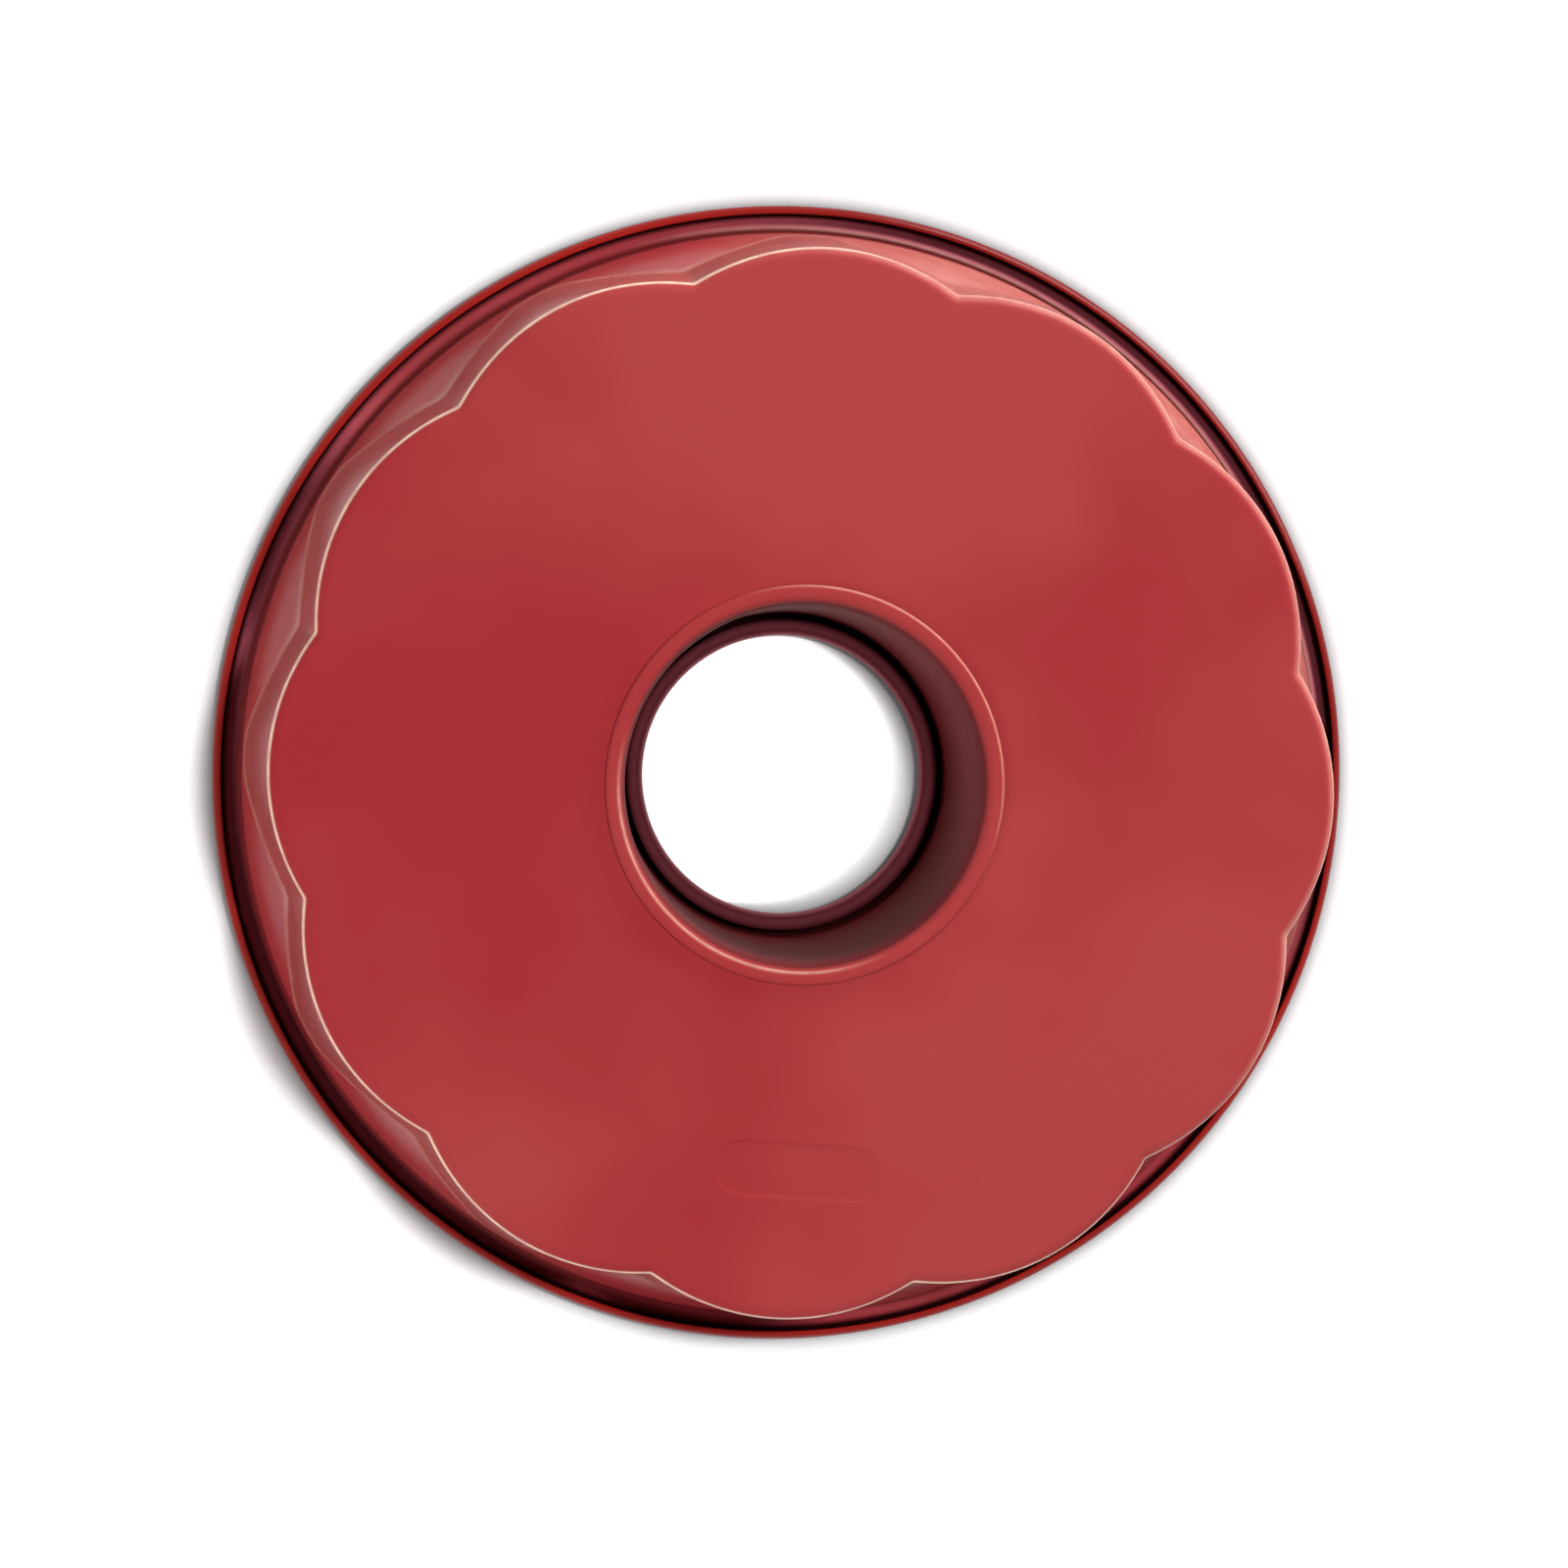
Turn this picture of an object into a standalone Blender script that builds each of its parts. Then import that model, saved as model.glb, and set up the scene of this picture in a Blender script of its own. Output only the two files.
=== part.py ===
# Fluted tube pan, lying upside down on its rim: the open side is down and the flat base is up.
# Lengths are metres, angles are degrees. The origin is the centre of the plane that the rim
# rests on, and +Z goes up through the base. "Outer" means the face of the sheet that is seen
# from outside the pan, and "food side" means the face towards the ring-shaped cavity.

import math

import bmesh
import bpy
from mathutils import Matrix

MM = 0.001

# Whole pan
RIM_DIAMETER = 280 * MM  # across the rolled edge
PAN_HEIGHT = 58 * MM  # from the rim's resting plane to the outer face of the base
SHEET = 0.6 * MM  # coated steel sheet, in both pieces
CLEARANCE = 0.3 * MM  # between the two pieces at their seam

# Rolled rim, from the edge inwards
ROLL_RADIUS = 2.5 * MM  # outside of the roll
ROLL_CLOSE = 76  # how far past its widest point the roll is curled over
FLARE_RADIUS = 4.2 * MM  # sweep from the collar out to the roll
COLLAR_HEIGHT = 4.9 * MM  # plain band between the fluted wall and the flare
COLLAR_DRAFT = 3.5

# Fluted wall
LOBES = 12
FIRST_VALLEY = 12.6  # from +X, anticlockwise seen from above
FLUTE_DEPTH = 6.0 * MM  # from the peaks in to the valleys, at the base
PEAK_DRAFT = 4.4  # slope of a lobe's crest, from vertical
VALLEY_DRAFT = 7.5  # slope of the valley between two lobes
BASE_FILLET = 2.5 * MM  # between the base and the wall

# Facets that fill the valleys near the rim, parts of one cone, each inside a V of two lines
V_HEIGHT = 33.5 * MM  # where two V lines meet in a valley, above the rim's resting plane
LOBE_TIP = 5.3  # width that a lobe still has where it runs out, seen from the axis
TIP_RISE = 0.6 * MM  # how far above the collar the lobes run out

# Hole in the base, with a short collar turned in to the food side
NECK_DEPTH = 4.0 * MM  # depth of the seam's neck below the base
NECK_FLARE = 17.6  # slope of the neck, from vertical
HOLE_BEND = 1.0 * MM  # from the base into the neck

# Centre tube
TUBE_BORE = 68.6 * MM  # clear width inside the tube's rolled end
TUBE_ROLL_RADIUS = 3.1 * MM  # outside of the roll at the tube's open end
TUBE_ROLL_CLOSE = 110  # how far past its innermost point that roll is curled over
TUBE_LIFT = 1.0 * MM  # the tube ends this far above the rim's resting plane
TUBE_DRAFT = 3.7
FLANGE_FLAT = 1.2 * MM  # flat top of the flange that is folded out over the base
FLANGE_EDGE = 1.0 * MM  # rounding of the flange's outer edge

# Blank pressed panel on the base
PANEL_LENGTH = 40 * MM
PANEL_WIDTH = 13.2 * MM
PANEL_DEPTH = 0.25 * MM
PANEL_INSET = 23.5 * MM  # from the valleys of the base's edge in to the panel
PANEL_BEARING = 269  # from +X, as the valleys are
PANEL_TURN = -4.2

# Steps that round shapes are drawn with
LOBE_STEPS = 8
TUBE_STEPS = 60
FILLET_STEPS = 4
BEND_STEPS = 3
FLARE_STEPS = 4
ROLL_STEPS = 8
PANEL_STEPS = 28


def lean(height, degrees):
    """Sideways run of a line that climbs this height at this angle from vertical."""
    return height * math.tan(math.radians(degrees))


# Sizes that follow from the ones above
rim_radius = RIM_DIAMETER / 2
roll_centre_radius = rim_radius - ROLL_RADIUS
flare_height = SHEET + FLARE_RADIUS
collar_top = flare_height + COLLAR_HEIGHT
collar_radius = roll_centre_radius - FLARE_RADIUS - lean(COLLAR_HEIGHT, COLLAR_DRAFT)

half_lobe = math.pi / LOBES
peak_at_base = collar_radius - lean(PAN_HEIGHT - collar_top, PEAK_DRAFT)
valley_at_base = peak_at_base - FLUTE_DEPTH
v_radius = valley_at_base + lean(PAN_HEIGHT - V_HEIGHT, VALLEY_DRAFT)
fillet_end = 90 - PEAK_DRAFT

tube_wall_radius = TUBE_BORE / 2 + 2 * TUBE_ROLL_RADIUS - SHEET
tube_roll_height = TUBE_LIFT + TUBE_ROLL_RADIUS
neck_height = PAN_HEIGHT - NECK_DEPTH
neck_radius = tube_wall_radius + lean(neck_height - tube_roll_height, TUBE_DRAFT)
mouth_radius = neck_radius + lean(NECK_DEPTH, NECK_FLARE)

panel_distance = valley_at_base - PANEL_INSET - PANEL_WIDTH / 2


def arc(centre, radius, start, end, steps):
    """Points (radius, height) along an arc in the profile's plane, both ends included."""
    turns = [math.radians(start + (end - start) * step / steps) for step in range(steps + 1)]
    return [(centre[0] + radius * math.cos(t), centre[1] + radius * math.sin(t)) for t in turns]


def angle_from_valley(angle):
    return half_lobe - abs((angle - math.radians(FIRST_VALLEY)) % (2 * half_lobe) - half_lobe)


def lobed_radius(angle, inset=0.0):
    """Distance from the axis to the lobed outline at the base, or to the line inset within it.

    Each lobe is one arc from valley to valley over its peak. Set in from a sharp valley, the
    line runs round the valley's point at the same distance.
    """
    peak, valley = peak_at_base, valley_at_base
    from_valley = angle_from_valley(angle)
    from_peak = half_lobe - from_valley
    centre = (peak**2 - valley**2) / (2 * (peak - valley * math.cos(half_lobe)))
    lobe = peak - centre
    aside = valley * math.sin(from_valley)
    if aside < inset * centre * math.sin(half_lobe) / lobe:
        return valley * math.cos(from_valley) - math.sqrt(inset**2 - aside**2)
    reach = math.sqrt((lobe - inset) ** 2 - (centre * math.sin(from_peak)) ** 2)
    return centre * math.cos(from_peak) + reach


def v_line_ring(angle):
    """Where the lobes run into the cone that fills their valleys: the V lines."""
    tip_angle = half_lobe - math.radians(LOBE_TIP) / 2
    along = min(angle_from_valley(angle) / tip_angle, 1)
    height = V_HEIGHT + (collar_top + TIP_RISE - V_HEIGHT) * along
    up_cone = (height - collar_top) / (V_HEIGHT - collar_top)
    return collar_radius + (v_radius - collar_radius) * up_cone, height


def base_fillet_ring(turn):
    """Ring of the rounding between base and wall, where turn runs from 0 at the base to 90."""
    inset = BASE_FILLET * (1 - math.sin(math.radians(turn)))
    drop = BASE_FILLET * (1 - math.cos(math.radians(turn)))

    def ring(angle):
        v_line_radius, v_line_height = v_line_ring(angle)
        slope = (v_line_radius - lobed_radius(angle)) / (PAN_HEIGHT - v_line_height)
        return lobed_radius(angle, inset) + slope * drop, PAN_HEIGHT - drop

    return ring


def circle_rings(points):
    return [lambda angle, point=point: point for point in points]


def body_rings():
    """Outer face of the body's sheet, from the hole in the base out to the rolled edge."""
    seam_gap = (SHEET + CLEARANCE) / math.cos(math.radians(NECK_FLARE))
    bend_centre = (
        mouth_radius + seam_gap + HOLE_BEND * math.tan(math.radians(45 - NECK_FLARE / 2)),
        PAN_HEIGHT - HOLE_BEND,
    )
    hole = [(neck_radius + seam_gap + lean(CLEARANCE, NECK_FLARE), neck_height + CLEARANCE)]
    hole += arc(bend_centre, HOLE_BEND, 180 - NECK_FLARE, 90, BEND_STEPS)

    fillet_turns = [fillet_end * step / FILLET_STEPS for step in range(FILLET_STEPS + 1)]
    wall = [base_fillet_ring(turn) for turn in fillet_turns] + [v_line_ring]

    rim = [(collar_radius, collar_top)]
    rim += arc((roll_centre_radius, flare_height), FLARE_RADIUS, 180, 270, FLARE_STEPS)[:-1]
    rim += arc((roll_centre_radius, ROLL_RADIUS), ROLL_RADIUS - SHEET, -90, ROLL_CLOSE, ROLL_STEPS)
    return circle_rings(hole) + wall + circle_rings(rim)


def tube_rings():
    """Bore side of the tube's sheet, from its rolled end up to the flange over the base."""
    roll_centre = (TUBE_BORE / 2 + TUBE_ROLL_RADIUS, tube_roll_height)
    points = arc(roll_centre, TUBE_ROLL_RADIUS - SHEET, -180 - TUBE_ROLL_CLOSE, 0, ROLL_STEPS)
    points.append((neck_radius, neck_height))

    rise = CLEARANCE + FLANGE_EDGE
    shoulder = rise / (1 - math.sin(math.radians(NECK_FLARE)))
    shoulder_radius = mouth_radius + shoulder * math.cos(math.radians(NECK_FLARE))
    shoulder_centre = (shoulder_radius, PAN_HEIGHT + rise - shoulder)
    edge_centre = (shoulder_radius + FLANGE_FLAT, PAN_HEIGHT + CLEARANCE)
    points += arc(shoulder_centre, shoulder, 180 - NECK_FLARE, 90, BEND_STEPS)
    points += arc(edge_centre, FLANGE_EDGE, 90, 0, BEND_STEPS)
    return circle_rings(points)


def coated_steel(name, colour, roughness):
    material = bpy.data.materials.new(name)
    material.use_nodes = True
    shader = material.node_tree.nodes["Principled BSDF"]
    shader.inputs["Base Color"].default_value = (*colour, 1)
    shader.inputs["Roughness"].default_value = roughness
    shader.inputs["Metallic"].default_value = 0.0
    return material


def collection(name):
    made = bpy.data.collections.new(name)
    bpy.context.scene.collection.children.link(made)
    return made


def linked_object(name, shape, group):
    mesh = bpy.data.meshes.new(name)
    shape.to_mesh(mesh)
    shape.free()
    made = bpy.data.objects.new(name, mesh)
    group.objects.link(made)
    return made


def pressed_sheet(name, rings, steps, material, group):
    """One piece of sheet: its outer face is spun from a profile, shaped ring by ring and given
    its thickness on the food side."""
    start = math.radians(FIRST_VALLEY)
    shape = bmesh.new()
    ring_of = shape.verts.layers.int.new("ring")
    profile = []
    for index, ring in enumerate(rings):
        radius, height = ring(start)
        vertex = shape.verts.new((radius * math.cos(start), radius * math.sin(start), height))
        vertex[ring_of] = index
        profile.append(vertex)
    edges = [shape.edges.new(pair) for pair in zip(profile, profile[1:])]
    bmesh.ops.spin(
        shape,
        geom=profile + edges,
        cent=(0, 0, 0),
        axis=(0, 0, 1),
        angle=2 * math.pi,
        steps=steps,
        use_merge=True,
    )
    for vertex in shape.verts:
        angle = math.atan2(vertex.co.y, vertex.co.x)
        radius, height = rings[vertex[ring_of]](angle)
        vertex.co = (radius * math.cos(angle), radius * math.sin(angle), height)

    piece = linked_object(name, shape, group)
    piece.data.shade_smooth()
    piece.data.materials.append(material)
    thickness = piece.modifiers.new("sheet_thickness", "SOLIDIFY")
    thickness.thickness = SHEET
    thickness.offset = -1
    thickness.use_even_offset = True
    thickness.use_quality_normals = True
    return piece


def panel_cutter(group):
    """Pill-shaped prism, sunk to half its height to hollow the blank panel."""
    shape = bmesh.new()
    bmesh.ops.create_circle(
        shape,
        cap_ends=True,
        segments=PANEL_STEPS,
        radius=PANEL_WIDTH / 2,
        matrix=Matrix.Rotation(math.pi / PANEL_STEPS, 4, "Z"),
    )
    for vertex in shape.verts:
        vertex.co.x += math.copysign((PANEL_LENGTH - PANEL_WIDTH) / 2, vertex.co.x)
    raised = bmesh.ops.extrude_face_region(shape, geom=shape.faces[:])
    top = [item for item in raised["geom"] if isinstance(item, bmesh.types.BMVert)]
    bmesh.ops.translate(shape, verts=top, vec=(0, 0, 2 * PANEL_DEPTH))
    bmesh.ops.recalc_face_normals(shape, faces=shape.faces)

    cutter = linked_object("panel_cutter", shape, group)
    bearing = math.radians(PANEL_BEARING)
    cutter.location = (
        panel_distance * math.cos(bearing),
        panel_distance * math.sin(bearing),
        PAN_HEIGHT - PANEL_DEPTH,
    )
    cutter.rotation_euler = (0, 0, math.radians(PANEL_TURN))
    cutter.hide_render = True
    cutter.display_type = "WIRE"
    return cutter


def main():
    for item in list(bpy.data.objects):
        bpy.data.objects.remove(item)
    pan = collection("fluted_tube_pan")
    cutters = collection("cutters")

    body_red = coated_steel("body_red_coating", (0.37, 0.032, 0.037), 0.34)
    tube_red = coated_steel("tube_red_coating", (0.30, 0.026, 0.032), 0.38)
    body = pressed_sheet("fluted_body", body_rings(), LOBES * LOBE_STEPS, body_red, pan)
    pressed_sheet("centre_tube", tube_rings(), TUBE_STEPS, tube_red, pan)

    panel = body.modifiers.new("blank_panel", "BOOLEAN")
    panel.operation = "DIFFERENCE"
    panel.object = panel_cutter(cutters)


main()
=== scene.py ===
# Fluted tube pan, upside down on a pale floor: two pressed sheets with a red non-stick coat.
# Lengths are in metres, and the angles in the dictionaries are in degrees.
import math

import bmesh
import bpy
from mathutils import Matrix, Vector


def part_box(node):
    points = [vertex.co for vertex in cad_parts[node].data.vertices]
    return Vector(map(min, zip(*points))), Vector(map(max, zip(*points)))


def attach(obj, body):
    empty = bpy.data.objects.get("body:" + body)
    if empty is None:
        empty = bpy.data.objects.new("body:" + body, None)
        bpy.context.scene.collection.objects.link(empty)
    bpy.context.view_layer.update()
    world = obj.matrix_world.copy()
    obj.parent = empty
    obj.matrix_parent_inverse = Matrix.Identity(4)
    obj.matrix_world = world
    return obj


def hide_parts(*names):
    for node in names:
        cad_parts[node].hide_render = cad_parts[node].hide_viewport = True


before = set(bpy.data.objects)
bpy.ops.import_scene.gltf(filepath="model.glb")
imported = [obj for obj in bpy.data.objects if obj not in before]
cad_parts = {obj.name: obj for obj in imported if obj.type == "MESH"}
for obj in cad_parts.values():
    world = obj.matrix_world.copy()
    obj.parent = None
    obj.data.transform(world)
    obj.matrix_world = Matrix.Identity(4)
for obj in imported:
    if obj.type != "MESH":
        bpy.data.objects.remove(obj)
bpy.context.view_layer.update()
mm = 0.001
weldDistance = 0.001 * mm

bodyLow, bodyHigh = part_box("fluted_body")
rimRadius = (bodyHigh.x - bodyLow.x) / 2
baseHeight = bodyHigh.z
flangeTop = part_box("centre_tube")[1].z
print("frame: rim radius", round(rimRadius / mm, 2), "mm, base at", round(baseHeight / mm, 2), "mm")


# small helpers for profiles

def lean(height, degrees):
    return height * math.tan(math.radians(degrees))


def blendMax(a, b, soft):  # the larger one, with the corner between them rounded off
    reach = max(soft - abs(a - b), 0) / soft
    return max(a, b) + reach * reach * soft / 4


def blendMin(a, b, soft):
    return -blendMax(-a, -b, soft)


def smoothShare(value, start, end):  # from 0 at the start to 1 at the end
    share = min(max((value - start) / (end - start), 0), 1)
    return share * share * (3 - 2 * share)


def arcPoints(centre, radius, start, end, steps):
    turns = [math.radians(start + (end - start) * i / steps) for i in range(steps + 1)]
    return [(centre[0] + radius * math.cos(t), centre[1] + radius * math.sin(t)) for t in turns]


def linePoints(start, end, steps):  # both ends left out
    shares = [i / steps for i in range(1, steps)]
    return [tuple(a + (b - a) * s for a, b in zip(start, end)) for s in shares]


# the body: base, lobed wall, collar, flare and rolled rim

bodySizes = {
    "sheet": 0.6 * mm,
    "lobes": 12,
    "firstValley": 12.6,  # from +X, anticlockwise seen from above
    "fluteDepth": 6.0 * mm,  # from the peaks in to the valleys, at the base
    "peakDraft": 4.4,
    "valleyDraft": 7.5,
    "vHeight": 33.5 * mm,  # where two V lines meet in a valley
    "lobeTip": 5.3,  # width of a lobe where it runs out above the collar, in degrees
    "tipRise": 0.6 * mm,  # from the collar up to where the lobes run out
    "valleyRound": 1.3 * mm,  # radius in the bottom of the valleys
    "creaseSoft": 0.5 * mm,  # rounding of the V lines
    "vSoft": 0.6,  # rounding where two V lines meet, in degrees
    "tipSoft": 0.1,  # rounding where a V line runs out, as a share of its run
    "baseFillet": 2.5 * mm,
    "collarSoft": 0.5 * mm,  # rounding of the collar's top edge
    "collarHeight": 4.9 * mm,
    "collarDraft": 3.5,
    "collarStart": 1.6 * mm,  # from the collar's top edge down to the wall's last row
    "flareRadius": 4.2 * mm,
    "rollRadius": 2.5 * mm,
    "rollClose": 76,  # the end of the roll's curl, from its outermost point
    "holeBend": 1.0 * mm,  # radius where the base turns in to the hole
    "baseRow": 0.5 * mm,  # spacing of the flat rows beside the base's two bends
    "cutEdge": 0.12 * mm,  # rounding of the sheet's cut edges
    "cutAngle": 60,  # edges sharper than this are cut edges
    "columns": 480,
    "gather": 0.45,  # how much closer the columns stand at the valleys
    "holeSteps": 3,
    "bendSteps": 6,
    "filletSteps": 10,
    "rollSteps": 18,
}

tubeSizes = {
    "bore": 68.6 * mm,
    "rollRadius": 3.1 * mm,
    "rollClose": 110,  # the end of the roll's curl, from its innermost point
    "lift": 1.0 * mm,  # from the floor up to the roll
    "draft": 3.7,
    "neckDepth": 4.0 * mm,
    "neckFlare": 17.6,
    "neckSoft": 3.0 * mm,  # length over which the wall bends into the neck
    "flangeFlat": 1.2 * mm,
    "flangeEdge": 1.0 * mm,
    "clearance": 0.3 * mm,  # between the neck and the body's collar round the hole
    "columns": 288,
    "rollSteps": 26,
    "wallSteps": 12,
    "neckSteps": 8,
    "flangeSteps": 3,
}

panelSizes = {
    "length": 40 * mm,
    "width": 13.2 * mm,
    "depth": 0.25 * mm,
    "step": 0.8 * mm,  # width of the slope round it
    "inset": 23.5 * mm,  # from the valleys of the base's edge
    "bearing": 269,
    "turn": -4.2,
    "columns": 96,
    "slopeSteps": 6,
}

halfLobe = math.pi / bodySizes["lobes"]
firstValley = math.radians(bodySizes["firstValley"])
rollCentre = rimRadius - bodySizes["rollRadius"]
flareHeight = bodySizes["sheet"] + bodySizes["flareRadius"]
collarTop = flareHeight + bodySizes["collarHeight"]
collarRadius = rollCentre - bodySizes["flareRadius"]
collarRadius -= lean(bodySizes["collarHeight"], bodySizes["collarDraft"])
peakAtBase = collarRadius - lean(baseHeight - collarTop, bodySizes["peakDraft"])
valleyAtBase = peakAtBase - bodySizes["fluteDepth"]
vRadius = valleyAtBase + lean(baseHeight - bodySizes["vHeight"], bodySizes["valleyDraft"])

tubeWall = tubeSizes["bore"] / 2 + 2 * tubeSizes["rollRadius"] - bodySizes["sheet"]
tubeRollHeight = tubeSizes["lift"] + tubeSizes["rollRadius"]
neckHeight = baseHeight - tubeSizes["neckDepth"]
neckRadius = tubeWall + lean(neckHeight - tubeRollHeight, tubeSizes["draft"])
mouthRadius = neckRadius + lean(tubeSizes["neckDepth"], tubeSizes["neckFlare"])


def fromValley(angle):
    return halfLobe - abs((angle - firstValley) % (2 * halfLobe) - halfLobe)


def lobeRadius(angle, inset=0.0):  # lobed outline at the base, set in by a distance, with round valleys
    peak, valley = peakAtBase, valleyAtBase
    fromPeak = halfLobe - fromValley(angle)
    centre = (peak**2 - valley**2) / (2 * (peak - valley * math.cos(halfLobe)))
    lobe = peak - centre + bodySizes["valleyRound"]
    cut = inset + bodySizes["valleyRound"]
    reach = centre * math.sin(halfLobe)
    cusp = centre * math.cos(halfLobe) + math.sqrt(lobe**2 - reach**2)
    aside = cusp * math.sin(halfLobe - fromPeak)
    if aside < cut * reach / lobe:
        return cusp * math.cos(halfLobe - fromPeak) - math.sqrt(cut**2 - aside**2)
    return centre * math.cos(fromPeak) + math.sqrt((lobe - cut) ** 2 - (centre * math.sin(fromPeak)) ** 2)


def coneRadius(height):  # the cone that fills the valleys near the rim
    upCone = (height - collarTop) / (bodySizes["vHeight"] - collarTop)
    return collarRadius + (vRadius - collarRadius) * upCone


def creaseHeight(angle):  # where the lobed wall meets the cone: the V lines
    soft = math.radians(bodySizes["vSoft"])
    aside = math.hypot(fromValley(angle), soft) - soft
    run = halfLobe - math.radians(bodySizes["lobeTip"]) / 2
    along = blendMin(aside / run, 1, bodySizes["tipSoft"])
    top, tip = bodySizes["vHeight"], collarTop + bodySizes["tipRise"]
    return top + (tip - top) * along


def lobedWall(angle, height, inset=0.0):
    crease = creaseHeight(angle)
    slope = (coneRadius(crease) - lobeRadius(angle)) / (baseHeight - crease)
    return lobeRadius(angle, inset) + slope * (baseHeight - height)


def wallRadius(angle, height):
    wall = blendMax(lobedWall(angle, height), coneRadius(height), bodySizes["creaseSoft"])
    collar = collarRadius + lean(collarTop - height, bodySizes["collarDraft"])
    return blendMin(wall, collar, bodySizes["collarSoft"])


def filletRow(turn, flat=0.0):
    fillet = bodySizes["baseFillet"]
    inset = fillet * (1 - math.sin(math.radians(turn))) + flat
    height = baseHeight - fillet * (1 - math.cos(math.radians(turn)))
    return lambda angle: (lobedWall(angle, height, inset), height)


# rows down the wall: 0 is at the fillet, 1 at the V line and 2 just below the collar's top edge
wallPlaces = [0.03] + [0.12 * i for i in range(1, 8)] + [0.9, 0.94, 0.97, 1, 1.03, 1.06, 1.1]
wallPlaces += [1.2, 1.34, 1.48, 1.62, 1.75, 1.84, 1.89, 1.93, 1.96, 2]


def wallRow(place):
    top = baseHeight - bodySizes["baseFillet"]
    bottom = collarTop - bodySizes["collarStart"]

    def row(angle):
        crease = creaseHeight(angle)
        if place <= 1:
            height = top + (crease - top) * place
        else:
            height = crease + (bottom - crease) * (place - 1)
        return wallRadius(angle, height), height

    return row


def circleRows(points):
    return [lambda angle, point=point: point for point in points]


def newMasks(shape, names):  # made before any vertex, because a new layer unsettles those that exist
    return {name: shape.verts.layers.float.new(name) for name in names}


def paintRows(shape, layer, masks, shares):  # a row's share is a number, or a function of the bearing
    for vertex in shape.verts:
        bearing = math.degrees(math.atan2(vertex.co.y, vertex.co.x))
        for name, mask in masks.items():
            share = shares[name].get(vertex[layer], 0)
            vertex[mask] = share(bearing) if callable(share) else share


def spinRows(shape, rows, columns, layer, first):  # turns one point of each row into a strip of sheet
    start = firstValley
    line = []
    for i, row in enumerate(rows):
        radius, height = row(start)
        vertex = shape.verts.new((radius * math.cos(start), radius * math.sin(start), height))
        vertex[layer] = first + i
        line.append(vertex)
    edges = [shape.edges.new(pair) for pair in zip(line, line[1:])]
    bmesh.ops.spin(shape, geom=line + edges, cent=(0, 0, 0), axis=(0, 0, 1),
                   angle=2 * math.pi, steps=columns, use_merge=True)


def shapeRows(shape, rows, layer):  # moves each point to where its row runs at that angle
    lobes = bodySizes["lobes"]
    for vertex in shape.verts:
        angle = math.atan2(vertex.co.y, vertex.co.x)
        angle -= bodySizes["gather"] * math.sin(lobes * (angle - firstValley)) / lobes
        radius, height = rows[vertex[layer]](angle)
        vertex.co = (radius * math.cos(angle), radius * math.sin(angle), height)


def rowEdges(shape, layer, index):
    return [e for e in shape.edges if all(v[layer] == index for v in e.verts)]


def pillEdges(shape, layer, index, growth, height):  # a pill-shaped ring of edges on the base
    sizes = panelSizes
    half = (sizes["length"] - sizes["width"]) / 2
    radius = sizes["width"] / 2 + growth
    distance = valleyAtBase - sizes["inset"] - sizes["width"] / 2
    bearing = math.radians(sizes["bearing"])
    halfStep = Matrix.Rotation(math.pi / sizes["columns"], 4, "Z")  # so that no point has x = 0
    made = bmesh.ops.create_circle(shape, segments=sizes["columns"], radius=radius, matrix=halfStep)
    place = Matrix.Translation((distance * math.cos(bearing), distance * math.sin(bearing), height))
    place @= Matrix.Rotation(math.radians(sizes["turn"]), 4, "Z")
    for vertex in made["verts"]:
        vertex[layer] = index
        vertex.co.x += math.copysign(half, vertex.co.x)
        vertex.co = place @ vertex.co
    return list({e for v in made["verts"] for e in v.link_edges})


def addPanel(shape, layer, first):  # blank pressed panel; gives back its outermost ring
    steps, slope = panelSizes["slopeSteps"], panelSizes["step"]
    rings = [pillEdges(shape, layer, first, slope, baseHeight)]
    for i in range(steps + 1):
        share = i / steps
        height = baseHeight - panelSizes["depth"] * smoothShare(share, 0, 1)
        rings.append(pillEdges(shape, layer, first, slope * (0.5 - share), height))
    rings.append(pillEdges(shape, layer, first, -slope, baseHeight - panelSizes["depth"]))
    for outer, inner in zip(rings, rings[1:]):
        bmesh.ops.bridge_loops(shape, edges=outer + inner)
    bmesh.ops.edgeloop_fill(shape, edges=rings[-1])
    return rings[0]


def facesOutward(shape):
    bmesh.ops.remove_doubles(shape, verts=shape.verts, dist=weldDistance)
    bmesh.ops.recalc_face_normals(shape, faces=shape.faces)
    highest = max(face.calc_center_median().z for face in shape.faces)
    level = [face for face in shape.faces if face.calc_center_median().z > highest - weldDistance]
    if max(level, key=lambda face: abs(face.normal.z)).normal.z < 0:  # the base, or the flange, looks up
        bmesh.ops.reverse_faces(shape, faces=shape.faces)


def finishSheet(name, shape, outer, inner):
    mesh = bpy.data.meshes.new(name)
    shape.to_mesh(mesh)
    shape.free()
    mesh.shade_smooth()
    mesh.materials.append(outer)
    mesh.materials.append(inner)
    piece = bpy.data.objects.new(name, mesh)
    bpy.context.scene.collection.objects.link(piece)
    sheet = piece.modifiers.new("sheet", "SOLIDIFY")
    sheet.thickness = bodySizes["sheet"]
    sheet.offset = -1
    sheet.use_even_offset = True
    sheet.use_quality_normals = True
    sheet.material_offset = 1
    sheet.material_offset_rim = 1
    edge = piece.modifiers.new("cut edge", "BEVEL")
    edge.width = bodySizes["cutEdge"]
    edge.segments = 2
    edge.limit_method = "ANGLE"
    edge.angle_limit = math.radians(bodySizes["cutAngle"])
    return piece


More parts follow.
